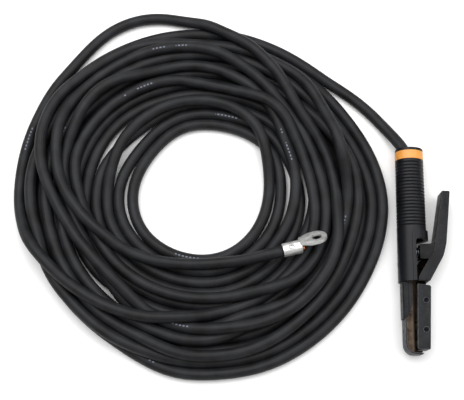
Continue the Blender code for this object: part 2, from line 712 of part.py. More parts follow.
make_handle()
make_label_band()
make_handle_screw()
make_body_casting()
make_lower_jaw_insulator()
jaw_screw_at = (-0.0131, LOWER_SCREW_Y, AXIS_Z)
screw_with_head("lower_jaw_screw", 0.0031, 0.0011, 0.0016, 0.0080, jaw_screw_at, (-1, 0, 0))
make_lower_tip_insulator()
tip_screw_at = (-0.0118, TIP_SCREW_Y, AXIS_Z)
screw_with_head("lower_tip_screw", 0.0028, 0.0007, 0.0016, 0.0067, tip_screw_at, (-1, 0, 0))
make_upper_jaw_insulator()
make_lever_casting()
make_lever_insulator()
make_lever_screws()
make_pivot_pin()
make_spring_parts()
make_clamp_parts()
make_lead()
make_coil()
make_tail()
make_lug()
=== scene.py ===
"""A tong-type welding electrode holder, lying on a table beside the loose coil of its lead."""

import math

import bmesh
import bpy
import numpy as np
from mathutils import Matrix, Vector


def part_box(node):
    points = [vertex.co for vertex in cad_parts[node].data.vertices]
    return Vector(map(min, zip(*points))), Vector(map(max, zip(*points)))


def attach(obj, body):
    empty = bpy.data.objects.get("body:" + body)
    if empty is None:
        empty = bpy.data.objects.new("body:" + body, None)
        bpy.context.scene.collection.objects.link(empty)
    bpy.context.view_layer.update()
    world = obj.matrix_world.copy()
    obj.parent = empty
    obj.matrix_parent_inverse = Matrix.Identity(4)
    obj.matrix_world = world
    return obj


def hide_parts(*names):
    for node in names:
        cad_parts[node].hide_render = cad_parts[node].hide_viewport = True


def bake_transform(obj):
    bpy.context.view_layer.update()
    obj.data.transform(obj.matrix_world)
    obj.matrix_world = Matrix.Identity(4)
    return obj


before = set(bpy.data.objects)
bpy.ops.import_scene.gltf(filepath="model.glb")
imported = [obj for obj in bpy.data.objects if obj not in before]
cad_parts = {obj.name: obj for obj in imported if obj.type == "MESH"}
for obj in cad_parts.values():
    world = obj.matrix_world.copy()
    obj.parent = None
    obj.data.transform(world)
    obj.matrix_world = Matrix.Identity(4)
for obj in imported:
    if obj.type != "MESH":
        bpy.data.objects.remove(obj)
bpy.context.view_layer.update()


# ---------------------------------------------------------------------------------------
# Camera, table and light. The camera looks steeply down along +Y from a metre away, and
# two large soft lamps and an even white room light the work, as in a small photo tent.

def linear(colour):
    """An sRGB hex colour as linear red, green, blue and alpha."""
    parts = [int(colour[i:i + 2], 16) / 255 for i in (1, 3, 5)]
    return (*[c / 12.92 if c <= 0.04045 else ((c + 0.055) / 1.055) ** 2.4 for c in parts], 1.0)


def add_node(tree, kind, inputs=None, **settings):
    """A new node. Its inputs take numbers, colours or other nodes' outputs."""
    node = tree.nodes.new(kind)
    for name, value in settings.items():
        setattr(node, name, value)
    for socket, value in (inputs or {}).items():
        if isinstance(value, bpy.types.NodeSocket):
            tree.links.new(value, node.inputs[socket])
        else:
            node.inputs[socket].default_value = value
    return node


def new_finish(name, roughness, metallic=0.0, ior=None, matt=0.0):
    """An empty material of a real finish, its node tree and its shader. Matt takes gloss away."""
    material = bpy.data.materials.new(name)
    material.use_nodes = True
    shader = material.node_tree.nodes["Principled BSDF"]
    shader.inputs["Roughness"].default_value = roughness
    shader.inputs["Metallic"].default_value = metallic
    if ior:
        shader.inputs["IOR"].default_value = ior
    if matt:
        shader.inputs["Specular IOR Level"].default_value = 0.5 - matt
    return material, material.node_tree, shader


def shade_between(tree, factor, dark, light, low=0.3, high=0.7):
    """A colour that goes from dark to light as the factor goes from low to high."""
    ramp = add_node(tree, "ShaderNodeValToRGB", {"Fac": factor})
    ramp.color_ramp.elements[0].position = low
    ramp.color_ramp.elements[1].position = high
    ramp.color_ramp.elements[0].color = linear(dark)
    ramp.color_ramp.elements[1].color = linear(light)
    return ramp.outputs["Color"]


def object_from(name, mesh, material, second=None):
    faces = np.zeros(len(mesh.polygons), np.int32)
    mesh.polygons.foreach_get("material_index", faces)
    mesh.materials.clear()
    mesh.materials.append(material)
    if second:
        mesh.materials.append(second)
    mesh.polygons.foreach_set("material_index", faces if second else np.zeros_like(faces))
    obj = bpy.data.objects.new(name, mesh)
    bpy.context.scene.collection.objects.link(obj)
    return obj


looked_at = Vector((-0.21076, 0.05327, 0.016))
view_elevation = math.radians(75)
view_roll = math.radians(1.05)
back = Vector((0, -math.cos(view_elevation), math.sin(view_elevation)))
upward = Vector((0, math.sin(view_elevation), math.cos(view_elevation)))
right = Vector((1, 0, 0)) * math.cos(view_roll) + upward * math.sin(view_roll)
width_seen = 464 / 900  # metres of width seen at a metre's distance
camera_data = bpy.data.cameras.new("camera")
camera_data.sensor_width = 36
camera_data.lens = camera_data.sensor_width / width_seen
camera_data.clip_start = 0.02
camera = bpy.data.objects.new("camera", camera_data)
turn = Matrix((right, back.cross(right), back)).transposed()
camera.matrix_world = Matrix.Translation(looked_at + back) @ turn.to_4x4()
bpy.context.scene.collection.objects.link(camera)
bpy.context.scene.camera = camera

# White melamine-faced board: a hard, fairly matt face with the faintest unevenness.
board, tree, shader = new_finish("white_melamine_board", 0.75)
spot = add_node(tree, "ShaderNodeTexCoord").outputs["Object"]
cloud = add_node(tree, "ShaderNodeTexNoise", {"Vector": spot, "Scale": 6.0}).outputs["Fac"]
tree.links.new(shade_between(tree, cloud, "#f5f5f4", "#f8f8f8"), shader.inputs["Base Color"])
table_half = 3.0
corners = [(x * table_half, y * table_half, 0) for x, y in ((-1, -1), (1, -1), (1, 1), (-1, 1))]
table_mesh = bpy.data.meshes.new("table")
table_mesh.from_pydata(corners, [], [(0, 1, 2, 3)])
object_from("table", table_mesh, board)

world = bpy.data.worlds.new("white_room")
world.use_nodes = True
world.node_tree.nodes["Background"].inputs["Color"].default_value = (1.0, 1.0, 1.0, 1.0)
world.node_tree.nodes["Background"].inputs["Strength"].default_value = 0.40
bpy.context.scene.world = world
bpy.context.scene.view_settings.view_transform = "Standard"
for lamp_name, place, size, watts in (
    ("lamp_left", (-0.70, 0.45, 1.35), 1.5, 24.0),
    ("lamp_right", (0.65, 0.20, 1.40), 1.5, 16.0),
):
    lamp_data = bpy.data.lights.new(lamp_name, "AREA")
    lamp_data.size = size
    lamp_data.energy = watts
    lamp = bpy.data.objects.new(lamp_name, lamp_data)
    lamp.location = place
    lamp.rotation_euler = (Vector(place) - looked_at).to_track_quat("Z", "Y").to_euler()
    bpy.context.scene.collection.objects.link(lamp)


# ---------------------------------------------------------------------------------------
# Lead: fifty feet of single-core welding cable, fine copper strands in a thick matt rubber
# jacket. It runs out of the handle's rear and lies in a loose coil of some sixteen turns,
# dropped round by round onto the table, and ends in its lug on top of the inner turns.
# Lengths in this section are in millimetres until the tube is made.

cable_diameter = 12.7
coil_middle = (-245.8, 58.8)
turn_rise = 13.2
lug_start = (-155.0, -6.65)
lug_turn = math.radians(15)
lug_height = 31.3
point_spacing = 9.0
lead_points = [
    (-12.8, 88.0, 17.6), (-13.2, 95.5, 17.6), (-14.5, 103.0, 17.6), (-16.8, 110.4, 17.6),
    (-20.1, 117.4, 17.3), (-24.2, 124.6, 16.7), (-29.2, 132.0, 15.7), (-35.2, 140.2, 14.4),
    (-42.0, 148.8, 12.8), (-49.4, 157.4, 11.2), (-57.6, 166.0, 9.6), (-67.2, 175.0, 8.2),
    (-77.8, 183.4, 7.1), (-89.2, 190.8, 6.4), (-111.6, 201.2, 6.4), (-128.8, 207.8, 6.4),
    (-151.9, 217.9, 6.4), (-181.0, 231.2, 6.4), (-210.6, 245.9, 6.4), (-234.4, 255.7, 6.4),
]
# Each entry is one turn: its distance from the coil's middle every 15 degrees,
# anticlockwise from the side away from the viewer, from the first turn on the table to
# the last on top.
turn_radii = (
    (192, 193, 193, 193, 192, 190, 186, 185, 183, 182, 182, 184,
     186, 188, 189, 191, 194, 194, 195, 191, 184, 181, 181, 181),
    (182, 185, 187, 189, 190, 191, 190, 188, 185, 182, 182, 182,
     182, 182, 183, 184, 185, 187, 187, 183, 176, 172, 172, 172),
    (173, 175, 176, 177, 177, 180, 177, 175, 172, 170, 170, 170,
     171, 172, 173, 174, 176, 178, 179, 174, 168, 165, 164, 163),
    (163, 164, 165, 166, 169, 166, 164, 163, 160, 159, 160, 162,
     163, 164, 164, 165, 166, 168, 168, 167, 165, 164, 165, 168),
    (169, 170, 170, 170, 170, 170, 171, 170, 169, 170, 173, 176,
     179, 178, 177, 175, 175, 174, 172, 168, 162, 157, 153, 150),
    (153, 155, 158, 160, 160, 160, 160, 160, 158, 157, 157, 157,
     158, 158, 158, 158, 158, 159, 160, 158, 154, 148, 143, 138),
    (136, 137, 139, 141, 141, 141, 141, 141, 140, 139, 139, 140,
     140, 141, 141, 142, 143, 144, 145, 144, 139, 133, 127, 122),
    (120, 121, 125, 128, 129, 131, 131, 130, 128, 126, 124, 123,
     123, 123, 124, 124, 125, 127, 127, 126, 122, 117, 112, 108),
    (106, 106, 107, 107, 109, 113, 115, 114, 112, 109, 108, 106,
     105, 106, 107, 107, 108, 110, 110, 109, 108, 107, 107, 107),
    (104, 98, 92, 88, 88, 91, 94, 94, 92, 90, 89, 88,
     88, 88, 88, 88, 88, 88, 89, 90, 92, 96, 101, 102),
    (98, 89, 81, 76, 75, 76, 77, 76, 76, 75, 75, 75,
     74, 74, 73, 73, 74, 74, 76, 80, 88, 98, 106, 110),
    (111, 111, 110, 109, 108, 108, 109, 107, 105, 103, 102, 101,
     101, 101, 103, 104, 105, 105, 106, 109, 116, 125, 135, 145),
    (152, 158, 164, 168, 166, 160, 151, 142, 137, 137, 140, 142,
     143, 147, 151, 156, 160, 164, 165, 164, 165, 170, 179, 181),
    (180, 185, 192, 197, 195, 187, 166, 148, 137, 135, 140, 147,
     152, 155, 157, 160, 162, 160, 155, 147, 144, 150, 168, 183),
    (203, 226, 228, 215, 210, 207, 200, 191, 180, 166, 154, 146,
     139, 137, 136, 136, 134, 129, 126, 125, 128, 133, 133, 128),
    (131, 140, 144, 149, 151, 146, 137, 128, 121, 118, 118, 116,
     116, 119, 128, 138, 141, 143, 140, 135, 134, 139, 149, 161),
    (171, 180, 181, 179, 178, 167, 149, 129, 113, 99, 88, 83,
     80),
)


def smooth_line(corners, step):
    """Points every step along a Catmull-Rom curve through the corners."""
    corners = np.asarray(corners, float)
    ends = np.vstack([2 * corners[0] - corners[1], corners, 2 * corners[-1] - corners[-2]])
    t = np.linspace(0, 1, 24, endpoint=False)[:, None]
    runs = [
        0.5 * (
            2 * b + (c - a) * t + (2 * a - 5 * b + 4 * c - d) * t**2
            + (3 * b - a - 3 * c + d) * t**3
        )
        for a, b, c, d in zip(ends, ends[1:], ends[2:], ends[3:])
    ]
    line = np.vstack([*runs, corners[-1:]])
    along = np.r_[0, np.cumsum(np.linalg.norm(np.diff(line, axis=0), axis=1))]
    stops = np.linspace(0, along[-1], round(along[-1] / step) + 1)
    return np.column_stack([np.interp(stops, along, line[:, k]) for k in range(3)])


def wound_cable():
    """The cable as it was wound: each turn a little higher than the one before."""
    points = list(lead_points)
    for number, radii in enumerate(turn_radii):
        for place, radius in enumerate(radii):
            angle = math.radians(90 + 15 * place)
            points.append((
                coil_middle[0] + radius * math.cos(angle),
                coil_middle[1] + radius * math.sin(angle),
                cable_diameter / 2 + turn_rise * (number + place / 24),
            ))
    top = points[-1][2] + 2
    for distance in (-30, 0, 22, 46):
        points.append((
            lug_start[0] + distance * math.cos(lug_turn),
            lug_start[1] + distance * math.sin(lug_turn),
            top,
        ))
    return smooth_line(points, point_spacing)


def close_pairs(points, skip):
    """Each point with each stretch of cable near it that isn't its own."""
    square = (points**2).sum(1)
    apart = square[:, None] + square[None, :] - 2 * points @ points.T
    reach = cable_diameter + point_spacing + 4
    first, second = np.nonzero(apart < reach**2)
    other = (np.abs(first - second) > skip) & (np.abs(first - second - 1) > skip)
    other &= second < len(points) - 1
    return first[other], second[other]


def settle(points, passes):
    """Lowers the turns onto the table and each other, with no two closer than a diameter."""
    fast, middling, slow = 1.9, 0.5, 0.2  # how far everything drops in one pass
    stretching, stiffness, pushing = 0.35, 0.056, 1.3
    plan = points[:, :2].copy()
    rest = np.linalg.norm(np.diff(plan, axis=0), axis=1)
    held = points[:4].copy()
    count = len(points)
    for number in range(passes):
        near_end = number > passes - 60
        points[:, 2] -= (
            fast if number < 0.4 * passes else middling if number < 0.75 * passes else slow
        )
        if number % 6 == 0:
            first, second = close_pairs(points, 5)
        for _ in range(3):
            # The cable keeps its length.
            step = points[1:] - points[:-1]
            length = np.linalg.norm(step, axis=1)
            pull = (stretching * (length - rest) / length)[:, None] * step
            points[:-1] += pull
            points[1:] -= pull
            # It straightens where it is bent.
            for _ in range(3):
                beside = 4 * (points[1:-3] + points[3:-1])
                bent = beside - points[:-4] - points[4:] - 6 * points[2:-2]
                points[2:-2] += stiffness * bent
            # Turns that touch push each other apart, less sideways than upwards.
            start = points[second]
            run = points[second + 1] - start
            share = np.clip(((points[first] - start) * run).sum(1) / (run**2).sum(1), 0, 1)
            gap = points[first] - start - run * share[:, None]
            distance = np.linalg.norm(gap, axis=1)
            hit = distance < cable_diameter
            overlap = cable_diameter - distance[hit]
            push = (0.5 * overlap / np.maximum(distance[hit], 1e-6))[:, None] * gap[hit]
            push[:, :2] *= 0.8 if near_end else 0.3
            i, j, share = first[hit], second[hit], share[hit]
            moved = np.zeros_like(points)
            weight = np.zeros(count)
            for index, part in ((i, np.ones_like(share)), (j, share - 1), (j + 1, -share)):
                for axis in range(3):
                    moved[:, axis] += np.bincount(index, push[:, axis] * part, count)
                weight += np.bincount(index, np.abs(part), count)
            points += pushing * moved / np.maximum(weight, 1)[:, None]
            # The table holds it up, and the handle holds its start.
            points[:, 2] = np.maximum(points[:, 2], cable_diameter / 2)
            points[:4] = held
        points[:, :2] += (0.03 if near_end else 0.12) * (plan - points[:, :2])
        points[-6:, :2] = plan[-6:]
        if number > 0.5 * passes:
            points[-8:, 2] = lug_height
    return points


settled = settle(wound_cable(), 330)
# The cable is cut square at the lug's mouth.
along_lug = np.array([math.cos(lug_turn), math.sin(lug_turn)])
before_lug = (settled[:, :2] - lug_start) @ along_lug < -4
last = len(settled) - np.argmax(before_lug[::-1])
settled = np.vstack([settled[:last], (*lug_start, lug_height)])
centre_line = smooth_line(settled, 6.0) / 1000


def tube_mesh(name, line, radius, sides):
    """A closed tube along a line, with the metres along it and the turn round it as UV."""
    ahead = np.gradient(line, axis=0)
    ahead /= np.linalg.norm(ahead, axis=1)[:, None]
    side = np.cross(ahead[0], (0, 0, 1.0))
    sides_out = []
    for heading in ahead:
        side = side - heading * (side @ heading)
        side /= np.linalg.norm(side)
        sides_out.append(side)
    sides_out = np.array(sides_out)
    ups = np.cross(sides_out, ahead)
    angles = 2 * math.pi * np.arange(sides) / sides
    rings = (
        line[:, None, :]
        + radius * np.cos(angles)[None, :, None] * sides_out[:, None, :]
        + radius * np.sin(angles)[None, :, None] * ups[:, None, :]
    )
    verts = rings.reshape(-1, 3)
    count = len(line)
    faces = []
    marks = []
    travelled = np.r_[0, np.cumsum(np.linalg.norm(np.diff(line, axis=0), axis=1))]
    for i in range(count - 1):
        here, there = travelled[i], travelled[i + 1]
        for j in range(sides):
            k = (j + 1) % sides
            faces.append((i * sides + j, i * sides + k, (i + 1) * sides + k, (i + 1) * sides + j))
            low, high = j / sides, (j + 1) / sides
            marks += [(here, low), (here, high), (there, high), (there, low)]
    faces.append(tuple(range(sides))[::-1])
    faces.append(tuple((count - 1) * sides + j for j in range(sides)))
    marks += [(0.0, 0.9)] * (2 * sides)
    mesh = bpy.data.meshes.new(name)
    mesh.from_pydata(verts.tolist(), [], faces)
    layer = mesh.uv_layers.new(name="run")
    layer.data.foreach_set("uv", np.array(marks, np.float32).reshape(-1))
    mesh.shade_smooth()
    bm = bmesh.new()
    bm.from_mesh(mesh)
    bmesh.ops.recalc_face_normals(bm, faces=bm.faces)
    bm.to_mesh(mesh)
    bm.free()
    return mesh


# Extruded chloroprene rubber: matt charcoal with a dusty bloom in patches of about 2 cm,
# faint streaks along the run from the die, and a line of small pale printed dashes.
jacket, tree, shader = new_finish("extruded_rubber_jacket", 0.55, ior=1.45, matt=0.22)
spot = add_node(tree, "ShaderNodeTexCoord").outputs["Object"]
run = add_node(tree, "ShaderNodeUVMap", uv_map="run").outputs["UV"]
bloom = add_node(tree, "ShaderNodeTexNoise", {"Vector": spot, "Scale": 55.0, "Detail": 6.0})
stretched = add_node(tree, "ShaderNodeMapping", {"Vector": run, "Scale": (14.0, 40.0, 1.0)})
streaks = add_node(tree, "ShaderNodeTexNoise", {
    "Vector": stretched.outputs["Vector"], "Scale": 1.0, "Detail": 3.0})
both = add_node(tree, "ShaderNodeMath", {
    0: bloom.outputs["Fac"], 1: streaks.outputs["Fac"]}, operation="ADD")
mean = add_node(tree, "ShaderNodeMath", {0: both.outputs[0], 1: 0.5}, operation="MULTIPLY")
plain = shade_between(tree, mean.outputs[0], "#0b0b0c", "#222326", 0.38, 0.62)


def within(tree, value, period, share):
    """1 over the first share of each period of a value, otherwise 0."""
    scaled = add_node(tree, "ShaderNodeMath", {0: value, 1: 1 / period}, operation="MULTIPLY")
    wrapped = add_node(tree, "ShaderNodeMath", {0: scaled.outputs[0]}, operation="FRACT")
    inside = add_node(tree, "ShaderNodeMath", {
        0: wrapped.outputs[0], 1: share}, operation="LESS_THAN")
    return inside.outputs[0]


# The print lies along one line of the jacket, whose place and half width are shares of the
# way round. Along the run it repeats in groups, in words and in dashes, in metres.
print_place, print_half_width, print_strength = 0.30, 0.020, 0.5
parts = add_node(tree, "ShaderNodeSeparateXYZ", {"Vector": run})
offset = add_node(tree, "ShaderNodeMath", {
    0: parts.outputs["Y"], 1: print_place}, operation="SUBTRACT")
away = add_node(tree, "ShaderNodeMath", {0: offset.outputs[0]}, operation="ABSOLUTE")
printed = add_node(tree, "ShaderNodeMath", {
    0: away.outputs[0], 1: print_half_width}, operation="LESS_THAN").outputs[0]
for period, share in ((0.83, 0.047), (0.041, 0.70), (0.0042, 0.55)):
    repeated = within(tree, parts.outputs["X"], period, share)
    printed = add_node(tree, "ShaderNodeMath", {
        0: printed, 1: repeated}, operation="MULTIPLY").outputs[0]
faded = add_node(tree, "ShaderNodeMath", {0: printed, 1: print_strength}, operation="MULTIPLY")
mixed = add_node(tree, "ShaderNodeMix", {
    0: faded.outputs[0], 6: plain, 7: linear("#8d92a2")}, data_type="RGBA")
tree.links.new(mixed.outputs[2], shader.inputs["Base Color"])
skin = add_node(tree, "ShaderNodeTexNoise", {"Vector": spot, "Scale": 900.0, "Detail": 3.0})
bump = add_node(tree, "ShaderNodeBump", {
    "Height": skin.outputs["Fac"], "Strength": 0.25, "Distance": 0.0003})
tree.links.new(bump.outputs["Normal"], shader.inputs["Normal"])

jacket_sides = 20
cable_mesh = tube_mesh("welding_lead", centre_line, cable_diameter / 2000, jacket_sides)
cable = object_from("welding_lead", cable_mesh, jacket)
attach(cable, "holder")
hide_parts("lead_cable", "lead_coil", "lead_tail")
# ---------------------------------------------------------------------------------------
# Handle: one tube moulded in black glass-filled nylon, with fine grip rings round its rear
# two thirds, a raised collar round the lever's window, and a recess near its rear rim for
# the marking band. It slides over the cable socket and one side screw holds it there.

def smoothed_copy(node, name, rounding, worn_highlit=None):
    """A node's own shape with its corners joined, its edges rounded and its bends smooth."""
    sharp = math.radians(28)  # faces that meet more steeply than this make an edge
    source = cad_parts[node].data
    bm = bmesh.new()
    corners = [bm.verts.new(vertex.co) for vertex in source.vertices]
    for face in source.polygons:
        bm.faces.new([corners[index] for index in face.vertices])
    bmesh.ops.remove_doubles(bm, verts=bm.verts, dist=2e-6)
    bmesh.ops.dissolve_degenerate(bm, edges=bm.edges, dist=1e-6)
    bmesh.ops.dissolve_limit(bm, angle_limit=math.radians(0.6), verts=bm.verts, edges=bm.edges)
    mesh = bpy.data.meshes.new(name)
    bm.to_mesh(mesh)
    bm.free()
    mesh.materials.append(None)
    mesh.materials.append(worn_highlit)
    guide = bpy.data.objects.new(name, mesh)
    bpy.context.scene.collection.objects.link(guide)
    if rounding:
        bevel = guide.modifiers.new("rounding", "BEVEL")
        bevel.width = rounding
        bevel.segments = 2
        bevel.limit_method = "ANGLE"
        bevel.angle_limit = sharp
        bevel.use_clamp_overlap = True
        # The bevel faces take the paler edge finish: a painted highlight, partly rubbed wear.
        if worn_highlit:
            bevel.material = 1
    evaluated = guide.evaluated_get(bpy.context.evaluated_depsgraph_get())
    result = bpy.data.meshes.new_from_object(evaluated)
    bpy.data.objects.remove(guide, do_unlink=True)
    result.name = name
    result.shade_smooth()
    result.set_sharp_from_angle(angle=math.radians(40) if rounding else sharp)
    return result


def dress_node(node, name, material, body, rounding, worn_highlit=None):
    """A finished piece that stands for a node and keeps its shape, perhaps with paler edges:
    painted highlight, partly rubbed wear.
    """
    obj = object_from(name, smoothed_copy(node, name, rounding, worn_highlit), material, worn_highlit)
    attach(obj, body)
    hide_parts(node)
    return obj


# Glass-filled nylon from a spark-eroded mould: near black with a faint cool sheen, a fine
# even grain, and slightly polished where hands rub it.
nylon, tree, shader = new_finish("moulded_black_nylon", 0.36, ior=1.5, matt=0.30)
spot = add_node(tree, "ShaderNodeTexCoord").outputs["Object"]
handled = add_node(tree, "ShaderNodeTexNoise", {
    "Vector": spot, "Scale": 60.0, "Detail": 5.0}).outputs["Fac"]
tree.links.new(shade_between(tree, handled, "#0c0d10", "#16171b"), shader.inputs["Base Color"])
gloss = add_node(tree, "ShaderNodeMapRange", {"Value": handled, 3: 0.30, 4: 0.46})
tree.links.new(gloss.outputs["Result"], shader.inputs["Roughness"])
grain = add_node(tree, "ShaderNodeTexNoise", {"Vector": spot, "Scale": 1600.0, "Detail": 2.0})
bump = add_node(tree, "ShaderNodeBump", {
    "Height": grain.outputs["Fac"], "Strength": 0.3, "Distance": 0.00012})
tree.links.new(bump.outputs["Normal"], shader.inputs["Normal"])
dress_node("handle", "grip_handle", nylon, "holder", 0.0)


# ---------------------------------------------------------------------------------------
# Marking band: a ring of orange plastic tape shrunk into the recess near the handle's
# rear rim. It is left plain.

# Pigmented PVC: even orange, satin, with the lightest mottling.
tape, tree, shader = new_finish("orange_pvc_band", 0.42, ior=1.53)
spot = add_node(tree, "ShaderNodeTexCoord").outputs["Object"]
mottle = add_node(tree, "ShaderNodeTexNoise", {
    "Vector": spot, "Scale": 240.0, "Detail": 4.0}).outputs["Fac"]
tree.links.new(shade_between(tree, mottle, "#cf8a3a", "#e59a41"), shader.inputs["Base Color"])
bump = add_node(tree, "ShaderNodeBump", {"Height": mottle, "Strength": 0.15, "Distance": 0.0001})
tree.links.new(bump.outputs["Normal"], shader.inputs["Normal"])
dress_node("label_band", "marking_band", tape, "holder", 0.0)


# ---------------------------------------------------------------------------------------
# Castings: the fixed jaw with the cable socket behind it, and the lever's arm with the
# moving jaw. Both are sand-cast copper alloy, with the meeting faces milled and grooved.

def painted_shade_near(tree, spot, plain, centre, inner, outer, least):
    """The plain colour darkened by painted shade, most of all near a place on the holder."""
    gap = add_node(tree, "ShaderNodeVectorMath", {0: spot, 1: centre}, operation="DISTANCE")
    unshaded_share = add_node(tree, "ShaderNodeMapRange", {
        "Value": gap.outputs["Value"], 1: inner, 2: outer, 3: least, 4: 1.0},
        interpolation_type="SMOOTHSTEP")
    darkened = add_node(tree, "ShaderNodeVectorMath", {
        0: plain, 3: unshaded_share.outputs["Result"]}, operation="SCALE")
    return darkened.outputs[0]


spring_window = (-0.0030, -0.0060, 0.0200)

# Cast copper alloy, oxidised by use: dull brown with redder rubbed patches and a sand-cast
# grain of about half a millimetre. Painted shade darkens it round the spring's window, and
# painted shade turns it nearly black towards the gap between the jaws.
bronze, tree, shader = new_finish("sand_cast_copper_alloy", 0.46, metallic=1.0)
spot = add_node(tree, "ShaderNodeTexCoord").outputs["Object"]
patina = add_node(tree, "ShaderNodeTexNoise", {
    "Vector": spot, "Scale": 130.0, "Detail": 6.0, "Roughness": 0.65}).outputs["Fac"]
brown = shade_between(tree, patina, "#231d19", "#64564a", 0.30, 0.78)
# Painted shade: the casting is darkened round the spring's window.
brown = painted_shade_near(tree, spot, brown, spring_window, 0.016, 0.034, 0.25)
# Painted shade: the alloy turns nearly black towards the gap between the jaws.
across = add_node(tree, "ShaderNodeSeparateXYZ", {"Vector": spot})
ragged = add_node(tree, "ShaderNodeMath", {
    0: patina, 1: 0.0030, 2: across.outputs["X"]}, operation="MULTIPLY_ADD")
gap_unshaded_share = add_node(tree, "ShaderNodeMapRange", {
    "Value": ragged.outputs[0], 1: -0.0152, 2: -0.0128, 3: 1.0, 4: 0.12},
    interpolation_type="SMOOTHSTEP")
gap_shaded_brown = add_node(tree, "ShaderNodeVectorMath", {
    0: brown, 3: gap_unshaded_share.outputs["Result"]}, operation="SCALE")
tree.links.new(gap_shaded_brown.outputs[0], shader.inputs["Base Color"])
dull = add_node(tree, "ShaderNodeMapRange", {"Value": patina, 3: 0.62, 4: 0.36})
tree.links.new(dull.outputs["Result"], shader.inputs["Roughness"])
sand = add_node(tree, "ShaderNodeTexNoise", {"Vector": spot, "Scale": 1900.0, "Detail": 3.0})
bump = add_node(tree, "ShaderNodeBump", {
    "Height": sand.outputs["Fac"], "Strength": 0.45, "Distance": 0.0002})
tree.links.new(bump.outputs["Normal"], shader.inputs["Normal"])
cast_rounding = 0.00025
dress_node("body_casting", "fixed_jaw_casting", bronze, "holder", cast_rounding)
dress_node("lever_casting", "moving_jaw_casting", bronze, "lever", cast_rounding)


# ---------------------------------------------------------------------------------------
# Insulators: compression-moulded covers over both jaws and the lever, screwed on so that
# they can be renewed. The lower ones wrap the fixed jaw, and the thumb bar is one with the
# spring's housing.

# Glass-reinforced phenolic: charcoal with a hint of grey flow, satin, and small pits.
phenolic, tree, shader = new_finish("moulded_phenolic", 0.44, ior=1.5, matt=0.33)
spot = add_node(tree, "ShaderNodeTexCoord").outputs["Object"]
flow = add_node(tree, "ShaderNodeTexNoise", {
    "Vector": spot, "Scale": 110.0, "Detail": 6.0, "Distortion": 1.2}).outputs["Fac"]
flecks = add_node(tree, "ShaderNodeTexNoise", {
    "Vector": spot, "Scale": 700.0, "Detail": 4.0, "Roughness": 0.7}).outputs["Fac"]
both = add_node(tree, "ShaderNodeMath", {0: flow, 1: flecks}, operation="ADD")
mean = add_node(tree, "ShaderNodeMath", {0: both.outputs[0], 1: 0.5}, operation="MULTIPLY")
charcoal = shade_between(tree, mean.outputs[0], "#08090a", "#232427", 0.38, 0.62)
# Painted shade: the phenolic is darkened nearly black round the spring's window.
charcoal = painted_shade_near(tree, spot, charcoal, spring_window, 0.009, 0.024, 0.05)
tree.links.new(charcoal, shader.inputs["Base Color"])
sheen = add_node(tree, "ShaderNodeMapRange", {"Value": flow, 1: 0.3, 2: 0.7, 3: 0.34, 4: 0.58})
tree.links.new(sheen.outputs["Result"], shader.inputs["Roughness"])
pits = add_node(tree, "ShaderNodeTexNoise", {"Vector": spot, "Scale": 1100.0, "Detail": 3.0})
bump = add_node(tree, "ShaderNodeBump", {
    "Height": pits.outputs["Fac"], "Strength": 0.3, "Distance": 0.00018})
tree.links.new(bump.outputs["Normal"], shader.inputs["Normal"])

# The same phenolic on its edges, paler and smoother: a painted highlight along the edges, partly
# rubbed wear.
worn_highlit_edge, tree, shader = new_finish("worn_highlit_phenolic_edge", 0.34, ior=1.5)
spot = add_node(tree, "ShaderNodeTexCoord").outputs["Object"]
wear = add_node(tree, "ShaderNodeTexNoise", {"Vector": spot, "Scale": 260.0, "Detail": 5.0})
pale = shade_between(tree, wear.outputs["Fac"], "#45464a", "#86878b", 0.35, 0.7)
tree.links.new(pale, shader.inputs["Base Color"])
cover_rounding = 0.0003
for node, name, body in (
    ("lower_jaw_insulator", "fixed_jaw_cover", "holder"),
    ("lower_tip_insulator", "fixed_jaw_tip_guard", "holder"),
    ("upper_jaw_insulator", "moving_jaw_cover", "lever"),
    ("lever_insulator", "thumb_bar", "lever"),
):
    # The covers' bevelled edges take the paler finish: a painted highlight, partly rubbed wear.
    dress_node(node, name, phenolic, body, cover_rounding, worn_highlit_edge)


# ---------------------------------------------------------------------------------------
# Screws and pin: slotted cheese-head screws hold the covers, a countersunk one the handle,
# two hexagon-socket grub screws clamp the conductor, and a plain pin carries the lever.
# All are steel with a black oxide finish.

# Black oxide on steel: dark, slightly bluish, satin metal with rubbed brighter specks.
oxide, tree, shader = new_finish("black_oxide_steel", 0.36, metallic=1.0)
spot = add_node(tree, "ShaderNodeTexCoord").outputs["Object"]
rubs = add_node(tree, "ShaderNodeTexNoise", {
    "Vector": spot, "Scale": 520.0, "Detail": 5.0}).outputs["Fac"]
blued = shade_between(tree, rubs, "#0b0b0d", "#232428", 0.4, 0.8)
tree.links.new(blued, shader.inputs["Base Color"])
bump = add_node(tree, "ShaderNodeBump", {"Height": rubs, "Strength": 0.2, "Distance": 0.0001})
tree.links.new(bump.outputs["Normal"], shader.inputs["Normal"])

# The tree makes one slotted screw with the top of its head at the origin and its shank
# pointing down, and sets a copy at each place, turned to its direction.
screw_tree = bpy.data.node_groups.new("cheese_head_screws", "GeometryNodeTree")
sockets = screw_tree.interface
sockets.new_socket("Places", in_out="INPUT", socket_type="NodeSocketGeometry")
for label in ("Head radius", "Head height", "Shank radius", "Length", "Slot width"):
    sockets.new_socket(label, in_out="INPUT", socket_type="NodeSocketFloat")
sockets.new_socket("Direction", in_out="INPUT", socket_type="NodeSocketVector")
sockets.new_socket("Finish", in_out="INPUT", socket_type="NodeSocketMaterial")
sockets.new_socket("Screws", in_out="OUTPUT", socket_type="NodeSocketGeometry")
given = add_node(screw_tree, "NodeGroupInput").outputs


def raised(tree, geometry, height):
    lift = add_node(tree, "ShaderNodeCombineXYZ", {"Z": height})
    lifted = add_node(tree, "GeometryNodeTransform", {
        "Geometry": geometry, "Translation": lift.outputs[0]})
    return lifted.outputs[0]


